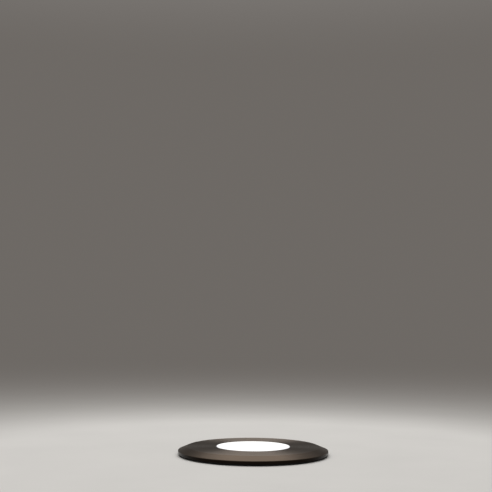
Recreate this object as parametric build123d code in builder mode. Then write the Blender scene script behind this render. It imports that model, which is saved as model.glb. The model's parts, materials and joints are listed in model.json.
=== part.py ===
from build123d import *
from math import atan2, cos, pi, radians, sin, sqrt
import os

# A recessed LED step light: a turned steel trim ring with a flush frosted lens lies on the step,
# and a finned housing hangs below it in a round cut-out, held by two sprung fold-down clips.
# Lengths are in millimetres. The origin is the centre of the mounting plane, the surface of the
# step under the flange gasket. +Z points out of the step, the way the light goes.

# Trim ring
flange_width = 10.1
face_height = 4.5
bevel_width = 4.8
bevel_drop = 1.9
rim_break = 0.25
trim_wall = 2.3
skirt_wall = 2.1
skirt_depth = 6.0
lip_thickness = 1.5
opening_break = 0.2

# Lens and seals
lens_radius = 19.6
lens_reveal = 0.2
lens_flange_width = 3.0
lens_flange_thickness = 3.0
lens_edge_break = 0.25
lens_side_gap = 0.3
lens_gasket_thickness = 0.5
seat_gasket_thickness = 1.0
gasket_margin = 0.3
flange_gasket_thickness = 1.0
flange_gasket_setback = 0.5
trim_o_ring_width = 1.8
trim_o_ring_depth = 1.2

# Housing
thread_gap = 0.1
neck_wall = 5.5
neck_length = 8.0
spigot_step = 1.0
pocket_gap = 0.3
groove_floor = 0.3
ledge_lip = 3.6
cavity_depth = 15.5
septum_thickness = 4.0
chamber_radius = 20.5
chamber_depth = 24.5
core_wall = 4.0
fin_count = 5
fin_depth = 5.1
fin_root = 2.4
fin_tip = 1.5
rear_flange_thickness = 5.0
rear_land = 0.8

# Light source
reflector_wall = 0.8
reflector_gap = 0.2
reflector_throat_radius = 6.4
reflector_bulge = 3.0
reflector_bands = 4
holder_radius = 12.4
holder_height = 3.2
holder_wall_at_leads = 11.8
substrate_side = 13.5
substrate_thickness = 1.0
substrate_gap = 0.25
phosphor_radius = 4.6
phosphor_thickness = 0.5
thermal_pad_thickness = 0.3
lead_radius = 0.6
lead_spacing = 2.2
lead_exit_drop = 1.6
lead_run = 3.7
grommet_radius = 3.0
grommet_lip = 0.8

# Driver
standoff_height = 5.0
standoff_radius = 2.5
standoff_inset = 3.9
board_gap = 1.1
board_thickness = 1.6
terminal_size = 10.0
terminal_depth = 8.0
terminal_height = 9.0
terminal_screw_radius = 1.5
capacitor_radius = 4.0
capacitor_height = 11.0
capacitor_crimp = 0.28
inductor_radius = 5.0
inductor_height = 6.0
inductor_waist = 1.0
chip_length = 6.0
chip_width = 4.0
chip_height = 1.6
diode_pitch = 3.2
diode_margin = 2.0

# Rear cover and cable gland
cover_thickness = 4.0
cover_spigot_depth = 1.5
cover_spigot_gap = 0.2
cover_o_ring_width = 1.6
cover_o_ring_depth = 1.2
gland_thread_radius = 6.0
gland_hex = 15.0
gland_washer_thickness = 1.2
gland_collar = 5.0
gland_stem = 6.0
gland_lock_nut_height = 3.0
cable_radius = 3.1
gland_wall = 1.1
gland_dome_height = 5.5
gland_dome_bulge = 1.0
seal_seat = 1.0
seal_taper = 0.65

# Fold-down clips
clip_flat_wall = 1.9
clip_pocket_width = 17.0
bracket_thickness = 1.0
bracket_height = 13.0
bracket_width = 13.2
bracket_ear_radius = 2.0
pivot_offset = 2.8
pivot_depth = 13.6
clip_rest_angle = 20.0
pin_radius = 0.9
pin_head_radius = 1.4
pin_head_height = 0.6
spring_wire_radius = 0.4
spring_coil_radius = 2.2
spring_pitch = 1.4
spring_turns = 4
spring_leg_length = 6.0
spring_leg_dip = 12.5
arm_thickness = 0.8
arm_length = 24.0
arm_tip_width = 8.0
arm_ear_gap = 0.3
arm_joggle_start = 2.5
arm_joggle_end = 9.0
blade_level = 0.4
stop_gap = 0.15
foot_length = 7.0
foot_height = 1.8
foot_ridges = 4
foot_stem_radius = 1.5
foot_button_radius = 2.3

# Fasteners and fits
m25_radius = 1.25
m25_head_radius = 2.3
m25_head_height = 1.6
clearance_gap = 0.15
tap_gap = 0.05
pin_gap = 0.05
board_screw_length = 4.5
holder_screw_length = 6.0
clip_screw_length = 5.0

# Heights of the seams, from the face down
rim_edge_height = face_height - bevel_drop
pocket_ceiling = face_height - trim_wall
lip_underside = face_height - lip_thickness
lens_shoulder = lip_underside - lens_gasket_thickness
lens_underside = lens_shoulder - lens_flange_thickness
ledge_top = lens_underside - seat_gasket_thickness
groove_bottom = -skirt_depth - groove_floor
septum_top = ledge_top - cavity_depth
septum_bottom = septum_top - septum_thickness
housing_bottom = septum_bottom - chamber_depth
rear_flange_top = housing_bottom + rear_flange_thickness
cover_bottom = housing_bottom - cover_thickness
spigot_top = housing_bottom + cover_spigot_depth

# Radii of the seams, from the lens out
opening_radius = lens_radius + lens_reveal
lens_flange_radius = lens_radius + lens_flange_width
skirt_bore = lens_flange_radius + lens_side_gap
skirt_radius = skirt_bore + skirt_wall
groove_outer = skirt_radius + thread_gap
ledge_radius = skirt_bore - clearance_gap
cavity_radius = ledge_radius - ledge_lip
neck_radius = groove_outer + neck_wall
spigot_radius = neck_radius - spigot_step
pocket_radius = spigot_radius + pocket_gap
trim_radius = pocket_radius + flange_width
flat_radius = trim_radius - bevel_width
widest_bore = max(chamber_radius, cavity_radius)
core_radius = widest_bore + core_wall
fin_radius = core_radius + fin_depth
clip_flat_distance = widest_bore + clip_flat_wall
board_radius = chamber_radius - board_gap
standoff_circle_radius = board_radius - standoff_inset
screw_head_bore = m25_head_radius + clearance_gap
cover_o_ring_middle = chamber_radius + cover_o_ring_width
cover_o_ring_outside = cover_o_ring_middle + cover_o_ring_width / 2
cover_screw_circle_radius = cover_o_ring_outside + rear_land + screw_head_bore
rear_flange_radius = cover_screw_circle_radius + screw_head_bore + rear_land

os.makedirs("parts", exist_ok=True)


def save(piece, name):
    """Label one finished piece and write it under its own name."""
    piece.label = name
    export_step(piece, f"parts/{name}.step")


# The turned trim ring: flat face, conical bevel, low rim, threaded skirt and a lip over the lens

with BuildPart() as trim_ring:
    with BuildSketch(Plane.XZ):
        with BuildLine():
            Polyline(
                (opening_radius, face_height),
                (flat_radius, face_height),
                (trim_radius - rim_break, rim_edge_height),
                (trim_radius, rim_edge_height - rim_break),
                (trim_radius, flange_gasket_thickness),
                (pocket_radius, flange_gasket_thickness),
                (pocket_radius, pocket_ceiling),
                (skirt_radius, pocket_ceiling),
                (skirt_radius, -skirt_depth),
                (skirt_bore, -skirt_depth),
                (skirt_bore, lip_underside),
                (opening_radius, lip_underside),
                close=True,
            )
        make_face()
    revolve(axis=Axis.Z)
    opening_edges = trim_ring.edges().filter_by(GeomType.CIRCLE).group_by(SortBy.RADIUS)[0]
    chamfer(opening_edges.sort_by(Axis.Z)[-1], length=opening_break)
    skirt_edges = trim_ring.faces().sort_by(Axis.Z)[0].outer_wire().edges()
    chamfer(skirt_edges, length=skirt_wall / 4)
save(trim_ring.part, "trim_ring")

with BuildPart() as flange_gasket:
    with BuildSketch():
        Circle(trim_radius - flange_gasket_setback)
        Circle(neck_radius + gasket_margin, mode=Mode.SUBTRACT)
    extrude(amount=flange_gasket_thickness)
save(flange_gasket.part, "flange_gasket")

# The frosted glass: a plug that fills the opening, and a flange that the trim clamps down

with BuildPart() as lens_glass:
    with BuildSketch(Plane.XY.offset(lens_underside)):
        Circle(lens_flange_radius)
    extrude(amount=lens_flange_thickness)
    with BuildSketch(Plane.XY.offset(lens_shoulder)):
        Circle(lens_radius)
    extrude(amount=face_height - lens_shoulder)
    chamfer(lens_glass.faces().sort_by(Axis.Z)[-1].edges(), length=lens_edge_break)
save(lens_glass.part, "lens_glass")

with BuildPart() as lens_gasket:
    with BuildSketch(Plane.XY.offset(lens_shoulder)):
        Circle(lens_flange_radius)
        Circle(opening_radius + gasket_margin, mode=Mode.SUBTRACT)
    extrude(amount=lens_gasket_thickness)
save(lens_gasket.part, "lens_gasket")

with BuildPart() as seat_gasket:
    with BuildSketch(Plane.XY.offset(ledge_top)):
        Circle(ledge_radius - gasket_margin)
        Circle(cavity_radius + gasket_margin, mode=Mode.SUBTRACT)
    extrude(amount=seat_gasket_thickness)
save(seat_gasket.part, "seat_gasket")

# The O-ring is drawn as it lies under the trim, squeezed to the depth of its groove

trim_o_ring_middle = (groove_outer + spigot_radius) / 2

with BuildPart() as trim_o_ring:
    with BuildSketch(Plane.XZ) as squeezed_ring:
        with Locations((trim_o_ring_middle, pocket_ceiling - trim_o_ring_depth / 2)):
            Rectangle(trim_o_ring_width, trim_o_ring_depth)
        chamfer(squeezed_ring.vertices(), length=trim_o_ring_depth / 4)
    revolve(axis=Axis.Z)
save(trim_o_ring.part, "trim_o_ring")

# The cast housing: mouth and neck, optics cavity over a septum, driver chamber and cooling fins

reflector_seat = ledge_top - reflector_wall
reflector_flange_radius = cavity_radius + reflector_wall
fin_zone_height = -neck_length - rear_flange_top
fin_pitch = fin_zone_height / (fin_count + 1)
clip_screw_height = (septum_top + septum_bottom) / 2
clip_screw_spread = bracket_width / 4
pivot_x = clip_flat_distance + bracket_thickness + pivot_offset
holder_screw_distance = (substrate_side / 2 + substrate_gap + holder_radius) / 2
lead_y = holder_wall_at_leads + lead_run
cover_screw_start = 45.0
standoff_start = -90.0

with BuildPart() as housing:
    with BuildSketch(Plane.XZ):
        with BuildLine():
            Polyline(
                (groove_outer, pocket_ceiling),
                (spigot_radius, pocket_ceiling),
                (spigot_radius, 0),
                (neck_radius, -spigot_step),
                (neck_radius, -neck_length),
                (core_radius, -neck_length),
                (core_radius, rear_flange_top),
                (rear_flange_radius, rear_flange_top),
                (rear_flange_radius, housing_bottom),
                (chamber_radius, housing_bottom),
                (chamber_radius, septum_bottom),
                (0, septum_bottom),
                (0, septum_top),
                (cavity_radius, septum_top),
                (cavity_radius, reflector_seat),
                (reflector_flange_radius + reflector_gap, reflector_seat),
                (reflector_flange_radius + reflector_gap, ledge_top),
                (ledge_radius, ledge_top),
                (ledge_radius, groove_bottom),
                (groove_outer, groove_bottom),
                close=True,
            )
        make_face()
    revolve(axis=Axis.Z)

    # Cooling fins with draft, evenly spaced between the neck and the rear flange
    for fin in range(fin_count):
        fin_height = -neck_length - (fin + 1) * fin_pitch
        fin_foot = core_radius - core_wall / 2
        with BuildSketch(Plane.XZ):
            with BuildLine():
                Polyline(
                    (fin_foot, fin_height - fin_root / 2),
                    (fin_radius, fin_height - fin_tip / 2),
                    (fin_radius, fin_height + fin_tip / 2),
                    (fin_foot, fin_height + fin_root / 2),
                    close=True,
                )
            make_face()
        revolve(axis=Axis.Z)

    # A milled pocket on each side gives the clip a flat seat and room to fold away
    pocket_depth = max(neck_radius, fin_radius) - clip_flat_distance
    with BuildSketch(Plane.XY.offset(rear_flange_top)):
        for side in (1, -1):
            with Locations((side * (clip_flat_distance + pocket_depth / 2), 0)):
                Rectangle(pocket_depth, clip_pocket_width)
    extrude(amount=fin_zone_height, mode=Mode.SUBTRACT)

    # O-ring groove in the mouth
    with BuildSketch(Plane.XY.offset(pocket_ceiling)):
        Circle(trim_o_ring_middle + trim_o_ring_width / 2)
        Circle(trim_o_ring_middle - trim_o_ring_width / 2, mode=Mode.SUBTRACT)
    extrude(amount=-trim_o_ring_depth, mode=Mode.SUBTRACT)

    # Tapped holes for the LED holder, the driver's standoffs, the rear cover and the clips
    with Locations(Plane.XY.offset(septum_top)):
        with GridLocations(2 * holder_screw_distance, 0, 2, 1):
            Hole(m25_radius + tap_gap, depth=holder_screw_length - holder_height / 2)
        with Locations((0, lead_y)):
            Hole(grommet_radius + tap_gap, depth=septum_thickness)
    with BuildSketch(Plane.XY.offset(septum_bottom)):
        with PolarLocations(standoff_circle_radius, 3, start_angle=standoff_start):
            Circle(m25_radius + tap_gap)
    extrude(amount=septum_thickness / 2, mode=Mode.SUBTRACT)
    with BuildSketch(Plane.XY.offset(housing_bottom)):
        with PolarLocations(cover_screw_circle_radius, 4, start_angle=cover_screw_start):
            Circle(m25_radius + tap_gap)
    extrude(amount=rear_flange_thickness, mode=Mode.SUBTRACT)
    for side in (1, -1):
        with BuildSketch(Plane.YZ.offset(side * clip_flat_distance)):
            with Locations((-clip_screw_spread, clip_screw_height), (clip_screw_spread, clip_screw_height)):
                Circle(m25_radius + tap_gap)
        extrude(amount=-side * clip_screw_length, mode=Mode.SUBTRACT)
save(housing.part, "housing")

# The reflector: a spun cup whose wall bows out, with a flange that rests on the housing's ledge

holder_top = septum_top + holder_height

throat_inside = Vector(reflector_throat_radius, holder_top)
throat_outside = Vector(reflector_throat_radius + reflector_wall, holder_top)
mouth_inside = Vector(cavity_radius - 2 * reflector_wall, ledge_top)
mouth_outside = Vector(cavity_radius - reflector_wall, reflector_seat)


def bowed_wall(throat, mouth):
    """Points up one side of the reflector's wall, which bows out between throat and mouth."""
    points = []
    for band in range(reflector_bands + 1):
        share = band / reflector_bands
        bow = 4 * reflector_bulge * share * (1 - share)
        points.append(throat + (mouth - throat) * share + Vector(bow, 0))
    return points


with BuildPart() as reflector:
    with BuildSketch(Plane.XZ):
        with BuildLine():
            Polyline(
                *bowed_wall(throat_inside, mouth_inside),
                (reflector_flange_radius, ledge_top),
                (reflector_flange_radius, reflector_seat),
                *reversed(bowed_wall(throat_outside, mouth_outside)),
                close=True,
            )
        make_face()
    revolve(axis=Axis.Z)
save(reflector.part, "reflector")

# The light source: LED board on its thermal pad, the yellow emitter, and the screwed holder

substrate_bottom = septum_top + thermal_pad_thickness
substrate_top = substrate_bottom + substrate_thickness

with BuildPart() as thermal_pad:
    with BuildSketch(Plane.XY.offset(septum_top)):
        Rectangle(substrate_side, substrate_side)
    extrude(amount=thermal_pad_thickness)
save(thermal_pad.part, "thermal_pad")

with BuildPart() as led_substrate:
    with BuildSketch(Plane.XY.offset(substrate_bottom)):
        Rectangle(substrate_side, substrate_side)
    extrude(amount=substrate_thickness)
save(led_substrate.part, "led_substrate")

with BuildPart() as led_phosphor:
    with BuildSketch(Plane.XY.offset(substrate_top)):
        Circle(phosphor_radius)
    extrude(amount=phosphor_thickness)
    fillet(led_phosphor.faces().sort_by(Axis.Z)[-1].edges(), radius=phosphor_thickness / 2)
save(led_phosphor.part, "led_phosphor")

with BuildPart() as cob_holder:
    with BuildSketch(Plane.XY.offset(septum_top)):
        Circle(holder_radius)
        with Locations((0, holder_radius + holder_wall_at_leads)):
            Rectangle(2 * holder_radius, 2 * holder_radius, mode=Mode.SUBTRACT)
    extrude(amount=holder_height)
    chamfer(cob_holder.edges().group_by(Axis.Z)[-1], length=holder_height / 8)
    with BuildSketch(Plane.XY.offset(septum_top)):
        Rectangle(substrate_side + 2 * substrate_gap, substrate_side + 2 * substrate_gap)
    extrude(amount=substrate_top - septum_top, mode=Mode.SUBTRACT)
    with BuildSketch(Plane.XY.offset(holder_top)):
        Circle(reflector_throat_radius - substrate_gap)
    extrude(amount=-holder_height, mode=Mode.SUBTRACT)
    with Locations(Plane.XY.offset(holder_top)):
        with GridLocations(2 * holder_screw_distance, 0, 2, 1):
            CounterBoreHole(
                m25_radius + clearance_gap,
                counter_bore_radius=screw_head_bore,
                counter_bore_depth=holder_height / 2,
            )
save(cob_holder.part, "cob_holder")

with BuildPart() as cob_holder_screws:
    head_seat = septum_top + holder_height / 2
    with BuildSketch(Plane.XY.offset(head_seat)):
        with GridLocations(2 * holder_screw_distance, 0, 2, 1):
            Circle(m25_head_radius)
    extrude(amount=holder_height / 2)
    with BuildSketch(Plane.XY.offset(head_seat)):
        with GridLocations(2 * holder_screw_distance, 0, 2, 1):
            Circle(m25_radius)
    extrude(amount=-holder_screw_length + holder_height)
save(cob_holder_screws.part, "cob_holder_screws")

# The two leads run from the holder, down through the grommet in the septum, to the driver board

board_top = septum_bottom - standoff_height
board_bottom = board_top - board_thickness
lead_height = holder_top - lead_exit_drop

with BuildPart() as lead_grommet:
    with BuildSketch(Plane.XY.offset(septum_bottom)):
        with Locations((0, lead_y)):
            Circle(grommet_radius)
    extrude(amount=septum_thickness)
    with BuildSketch(Plane.XY.offset(septum_bottom)):
        with Locations((0, lead_y)):
            Circle(grommet_radius + grommet_lip)
    extrude(amount=-grommet_lip)
    with BuildSketch(Plane.XY.offset(septum_bottom - grommet_lip)):
        with Locations((0, lead_y)):
            with GridLocations(lead_spacing, 0, 2, 1):
                Circle(lead_radius + tap_gap)
    extrude(amount=septum_thickness + grommet_lip, mode=Mode.SUBTRACT)
save(lead_grommet.part, "lead_grommet")

for colour, side in (("red", 1), ("black", -1)):
    lead_x = side * lead_spacing / 2
    with BuildPart() as lead:
        with BuildLine():
            FilletPolyline(
                (lead_x, holder_wall_at_leads, lead_height),
                (lead_x, lead_y, lead_height),
                (lead_x, lead_y, board_top),
                radius=lead_height - septum_top,
            )
        with BuildSketch(Plane(origin=(lead_x, holder_wall_at_leads, lead_height), z_dir=(0, 1, 0))):
            Circle(lead_radius)
        sweep()
    save(lead.part, f"lead_{colour}")

# The driver: a round board on three standoffs, with its parts on the side of the cable

with BuildPart() as driver_board:
    with BuildSketch(Plane.XY.offset(board_bottom)):
        Circle(board_radius)
        with PolarLocations(standoff_circle_radius, 3, start_angle=standoff_start):
            Circle(m25_radius + clearance_gap, mode=Mode.SUBTRACT)
    extrude(amount=board_thickness)
save(driver_board.part, "driver_board")

with BuildPart() as driver_standoffs:
    with BuildSketch(Plane.XY.offset(board_top)):
        with PolarLocations(standoff_circle_radius, 3, start_angle=standoff_start):
            RegularPolygon(standoff_radius, 6, major_radius=False)
            Circle(m25_radius + tap_gap, mode=Mode.SUBTRACT)
    extrude(amount=standoff_height)
save(driver_standoffs.part, "driver_standoffs")

with BuildPart() as driver_board_screws:
    with BuildSketch(Plane.XY.offset(board_bottom)):
        with PolarLocations(standoff_circle_radius, 3, start_angle=standoff_start):
            Circle(m25_radius)
    extrude(amount=board_screw_length)
    with BuildSketch(Plane.XY.offset(board_bottom)):
        with PolarLocations(standoff_circle_radius, 3, start_angle=standoff_start):
            Circle(m25_head_radius)
    extrude(amount=-m25_radius)
save(driver_board_screws.part, "driver_board_screws")

parts_circle_radius = board_radius - m25_head_radius - capacitor_radius
terminal_y = -standoff_circle_radius + m25_head_radius + terminal_depth / 2 + clearance_gap

with BuildPart() as driver_capacitor:
    with BuildSketch(Plane.XY.offset(board_bottom)):
        with Locations((parts_circle_radius, 0)):
            Circle(capacitor_radius)
    extrude(amount=-capacitor_height)
    fillet(driver_capacitor.faces().sort_by(Axis.Z)[0].edges(), radius=capacitor_radius / 6)
    with BuildSketch(Plane.XY.offset(board_bottom - capacitor_height / 6)):
        with Locations((parts_circle_radius, 0)):
            Circle(capacitor_radius)
            Circle(capacitor_radius - capacitor_crimp, mode=Mode.SUBTRACT)
    extrude(amount=-capacitor_height / 10, mode=Mode.SUBTRACT)
save(driver_capacitor.part, "driver_capacitor")

with BuildPart() as driver_inductor:
    with BuildSketch(Plane.XY.offset(board_bottom)):
        with Locations((-parts_circle_radius, 0)):
            Circle(inductor_radius)
    extrude(amount=-inductor_height)
    with BuildSketch(Plane.XY.offset(board_bottom - inductor_height / 5)):
        with Locations((-parts_circle_radius, 0)):
            Circle(inductor_radius)
            Circle(inductor_radius - inductor_waist, mode=Mode.SUBTRACT)
    extrude(amount=-inductor_height * 3 / 5, mode=Mode.SUBTRACT)
save(driver_inductor.part, "driver_inductor")

chip_y = standoff_circle_radius / 4
diode_y = chip_y + chip_width / 2 + chip_height + diode_margin + diode_pitch / 2

with BuildPart() as driver_chip:
    with BuildSketch(Plane.XY.offset(board_bottom)):
        with Locations((0, chip_y)):
            Rectangle(chip_length, chip_width)
    extrude(amount=-chip_height)
    with BuildSketch(Plane.XY.offset(board_bottom)):
        with Locations((0, chip_y)):
            with GridLocations(chip_length / 4, chip_width + chip_height, 4, 2):
                Rectangle(chip_length / 12, chip_height)
    extrude(amount=-chip_height / 2)
save(driver_chip.part, "driver_chip")

with BuildPart() as rectifier_diodes:
    with BuildSketch(Plane.XY.offset(board_bottom)):
        with Locations((0, diode_y)):
            with GridLocations(chip_width, diode_pitch, 2, 2):
                Rectangle(chip_length / 2, chip_width / 2)
    extrude(amount=-chip_height)
save(rectifier_diodes.part, "rectifier_diodes")

with BuildPart() as terminal_block:
    with BuildSketch(Plane.XY.offset(board_bottom)):
        with Locations((0, terminal_y)):
            Rectangle(terminal_size, terminal_depth)
    extrude(amount=-terminal_height)
    with BuildSketch(Plane.XY.offset(board_bottom - terminal_height)):
        with Locations((0, terminal_y)):
            with GridLocations(terminal_size / 2, 0, 2, 1):
                Circle(terminal_screw_radius + clearance_gap)
    extrude(amount=terminal_height / 2, mode=Mode.SUBTRACT)
    with BuildSketch(Plane.XZ.offset(-terminal_y)):
        with GridLocations(terminal_size / 2, 0, 2, 1):
            with Locations((0, board_bottom - terminal_height / 4)):
                Rectangle(terminal_size / 4, terminal_height / 4)
    extrude(amount=-terminal_depth / 2, mode=Mode.SUBTRACT)
save(terminal_block.part, "terminal_block")

with BuildPart() as terminal_screws:
    with BuildSketch(Plane.XY.offset(board_bottom - terminal_height / 2)):
        with Locations((0, terminal_y)):
            with GridLocations(terminal_size / 2, 0, 2, 1):
                Circle(terminal_screw_radius)
    extrude(amount=-terminal_height / 3)
save(terminal_screws.part, "terminal_screws")

# The rear cover closes the driver chamber: spigot, O-ring groove and four sunk cap screws

with BuildPart() as rear_cover:
    with BuildSketch(Plane.XY.offset(cover_bottom)):
        Circle(rear_flange_radius)
    extrude(amount=cover_thickness)
    chamfer(rear_cover.faces().sort_by(Axis.Z)[0].edges(), length=cover_thickness / 4)
    with BuildSketch(Plane.XY.offset(housing_bottom)):
        Circle(chamber_radius - cover_spigot_gap)
    extrude(amount=cover_spigot_depth)
    with BuildSketch(Plane.XY.offset(housing_bottom)):
        Circle(cover_o_ring_outside)
        Circle(cover_o_ring_outside - cover_o_ring_width, mode=Mode.SUBTRACT)
    extrude(amount=-cover_o_ring_depth, mode=Mode.SUBTRACT)
    with BuildSketch(Plane.XY.offset(cover_bottom)):
        Circle(gland_thread_radius + clearance_gap)
    extrude(amount=cover_thickness + cover_spigot_depth, mode=Mode.SUBTRACT)
    with Locations(Plane(origin=(0, 0, cover_bottom), x_dir=(1, 0, 0), z_dir=(0, 0, -1))):
        with PolarLocations(cover_screw_circle_radius, 4, start_angle=cover_screw_start):
            CounterBoreHole(
                m25_radius + clearance_gap,
                counter_bore_radius=screw_head_bore,
                counter_bore_depth=m25_head_height,
            )
save(rear_cover.part, "rear_cover")

with BuildPart() as rear_cover_o_ring:
    with BuildSketch(Plane.XZ) as squeezed_ring:
        with Locations((cover_o_ring_middle, housing_bottom - cover_o_ring_depth / 2)):
            Rectangle(cover_o_ring_width, cover_o_ring_depth)
        chamfer(squeezed_ring.vertices(), length=cover_o_ring_depth / 4)
    revolve(axis=Axis.Z)
save(rear_cover_o_ring.part, "rear_cover_o_ring")

with BuildPart() as rear_cover_screws:
    with BuildSketch(Plane.XY.offset(cover_bottom)):
        with PolarLocations(cover_screw_circle_radius, 4, start_angle=cover_screw_start):
            Circle(m25_head_radius)
    extrude(amount=m25_head_height)
    with BuildSketch(Plane.XY.offset(cover_bottom)):
        with PolarLocations(cover_screw_circle_radius, 4, start_angle=cover_screw_start):
            Circle(m25_radius)
    extrude(amount=cover_thickness + rear_flange_thickness)
    with BuildSketch(Plane.XY.offset(cover_bottom)):
        with PolarLocations(cover_screw_circle_radius, 4, start_angle=cover_screw_start):
            RegularPolygon(m25_head_radius / 2, 6)
    extrude(amount=m25_head_height / 2, mode=Mode.SUBTRACT)
save(rear_cover_screws.part, "rear_cover_screws")

# The cable gland: a hexagon body through the cover, its washer and lock nut, a seal with the
# cable's bore, and a dome nut that squeezes the seal

gland_washer_bottom = cover_bottom - gland_washer_thickness
gland_collar_bottom = gland_washer_bottom - gland_collar
gland_stem_bottom = gland_collar_bottom - gland_stem
dome_bottom = gland_stem_bottom - gland_dome_height
seal_radius = gland_thread_radius - gland_wall - tap_gap
seal_top = gland_collar_bottom - seal_seat

with BuildPart() as gland_washer:
    with BuildSketch(Plane.XY.offset(gland_washer_bottom)):
        Circle(gland_hex / 2)
        Circle(gland_thread_radius + clearance_gap, mode=Mode.SUBTRACT)
    extrude(amount=gland_washer_thickness)
save(gland_washer.part, "gland_washer")

with BuildPart() as gland_body:
    with BuildSketch(Plane.XY.offset(gland_collar_bottom)):
        RegularPolygon(gland_hex / 2, 6, major_radius=False)
    extrude(amount=gland_collar)
    with BuildSketch(Plane.XY.offset(gland_stem_bottom)):
        Circle(gland_thread_radius)
    extrude(amount=spigot_top + gland_lock_nut_height + clearance_gap - gland_stem_bottom)
    with BuildSketch(Plane.XY.offset(gland_stem_bottom)):
        Circle(cable_radius + 2 * clearance_gap)
    extrude(amount=spigot_top + 2 * gland_lock_nut_height - gland_stem_bottom, mode=Mode.SUBTRACT)
    with BuildSketch(Plane.XY.offset(gland_stem_bottom)):
        Circle(gland_thread_radius - gland_wall)
    extrude(amount=seal_top - gland_stem_bottom, mode=Mode.SUBTRACT)
save(gland_body.part, "gland_body")

with BuildPart() as gland_lock_nut:
    with BuildSketch(Plane.XY.offset(spigot_top)):
        RegularPolygon(gland_hex / 2, 6, major_radius=False)
        Circle(gland_thread_radius + tap_gap, mode=Mode.SUBTRACT)
    extrude(amount=gland_lock_nut_height)
save(gland_lock_nut.part, "gland_lock_nut")

with BuildPart() as gland_seal:
    with BuildSketch(Plane.XZ):
        with BuildLine():
            Polyline(
                (cable_radius, seal_top),
                (seal_radius, seal_top),
                (seal_radius, gland_stem_bottom),
                (seal_radius - seal_taper, gland_stem_bottom - gland_dome_height / 3),
                (cable_radius, gland_stem_bottom - gland_dome_height / 3),
                close=True,
            )
        make_face()
    revolve(axis=Axis.Z)
save(gland_seal.part, "gland_seal")

with BuildPart() as gland_dome_nut:
    nut_top = gland_collar_bottom - tap_gap
    mouth_radius = cable_radius + 2 * clearance_gap
    with BuildSketch(Plane.XY.offset(dome_bottom)):
        RegularPolygon(gland_hex / 2, 6, major_radius=False)
    extrude(amount=nut_top - dome_bottom)
    with BuildSketch(Plane.XZ):
        with BuildLine():
            corner_radius = gland_hex / 2 / cos(pi / 6)
            nose_radius = mouth_radius + gland_wall
            Line((0, dome_bottom), (nose_radius, dome_bottom))
            SagittaArc((nose_radius, dome_bottom), (corner_radius, gland_stem_bottom), -gland_dome_bulge)
            Line((corner_radius, gland_stem_bottom), (corner_radius, nut_top))
            Line((corner_radius, nut_top), (0, nut_top))
            Line((0, nut_top), (0, dome_bottom))
        make_face()
    revolve(axis=Axis.Z, mode=Mode.INTERSECT)
    with BuildSketch(Plane.XZ):
        with BuildLine():
            Polyline(
                (0, nut_top),
                (gland_thread_radius + tap_gap, nut_top),
                (gland_thread_radius + tap_gap, gland_stem_bottom - clearance_gap),
                (mouth_radius, dome_bottom + gland_wall),
                (mouth_radius, dome_bottom),
                (0, dome_bottom),
                close=True,
            )
        make_face()
    revolve(axis=Axis.Z, mode=Mode.SUBTRACT)
save(gland_dome_nut.part, "gland_dome_nut")

# The clips. Each piece is built for the right side, in the plane of its hinge, and the same
# piece turned half a turn about Z serves on the left. The arm's own axes start at the pivot:
# first along the arm, then square to it on the side of the foot.

plate_face = clip_flat_distance + bracket_thickness
bracket_top = -neck_length - stop_gap
bracket_bottom = bracket_top - bracket_height
ear_inside = bracket_width / 2 - bracket_thickness
arm_width = 2 * (ear_inside - arm_ear_gap)
arm_angle = radians(clip_rest_angle)
arm_plane = Plane(
    origin=(pivot_x, 0, -pivot_depth),
    x_dir=(cos(arm_angle), 0, sin(arm_angle)),
    z_dir=(0, -1, 0),
)
hinge_plane = Plane(origin=(pivot_x, 0, -pivot_depth), z_dir=(0, 1, 0))


def save_pair(piece, name):
    """Write the right-hand piece, and its twin turned half a turn about Z for the left."""
    save(piece, f"{name}_right")
    with BuildPart() as twin:
        add(piece, rotation=(0, 0, 180))
    save(twin.part, f"{name}_left")


with BuildPart() as clip_bracket:
    with BuildSketch(Plane.YZ.offset(clip_flat_distance)):
        with Locations((0, (bracket_top + bracket_bottom) / 2)):
            Rectangle(bracket_width, bracket_height)
        with Locations((-clip_screw_spread, clip_screw_height), (clip_screw_spread, clip_screw_height)):
            Circle(m25_radius + tap_gap, mode=Mode.SUBTRACT)
    extrude(amount=bracket_thickness)
    corners = clip_bracket.edges().filter_by(Axis.X).group_by(Axis.Z)[0]
    fillet(corners, radius=bracket_ear_radius)
    for side in (1, -1):
        ear_outside = side * bracket_width / 2
        with BuildSketch(Plane.XZ.offset(-ear_outside)):
            with Locations((pivot_x, -pivot_depth)):
                Circle(bracket_ear_radius)
            with BuildLine():
                Polyline(
                    (clip_flat_distance, bracket_top),
                    (pivot_x, -pivot_depth + bracket_ear_radius),
                    (pivot_x, -pivot_depth - bracket_ear_radius),
                    (clip_flat_distance, -pivot_depth - 2 * bracket_ear_radius),
                    close=True,
                )
            make_face()
            with Locations((pivot_x, -pivot_depth)):
                Circle(pin_radius + tap_gap, mode=Mode.SUBTRACT)
        extrude(amount=side * bracket_thickness)
    for side in (1, -1):
        with BuildSketch(Plane.YZ.offset(plate_face)):
            with Locations((side * clip_screw_spread, clip_screw_height)):
                Circle(m25_head_radius)
        extrude(amount=-bracket_thickness, taper=45, mode=Mode.SUBTRACT)
save_pair(clip_bracket.part, "clip_bracket")

with BuildPart() as clip_screws:
    with BuildSketch(Plane.YZ.offset(plate_face)):
        with Locations((-clip_screw_spread, clip_screw_height), (clip_screw_spread, clip_screw_height)):
            Circle(m25_radius)
    extrude(amount=-clip_screw_length)
    with BuildSketch(Plane.YZ.offset(plate_face)):
        with Locations((-clip_screw_spread, clip_screw_height), (clip_screw_spread, clip_screw_height)):
            Circle(m25_head_radius - tap_gap)
    extrude(amount=-bracket_thickness, taper=45)
save_pair(clip_screws.part, "clip_screws")

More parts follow.
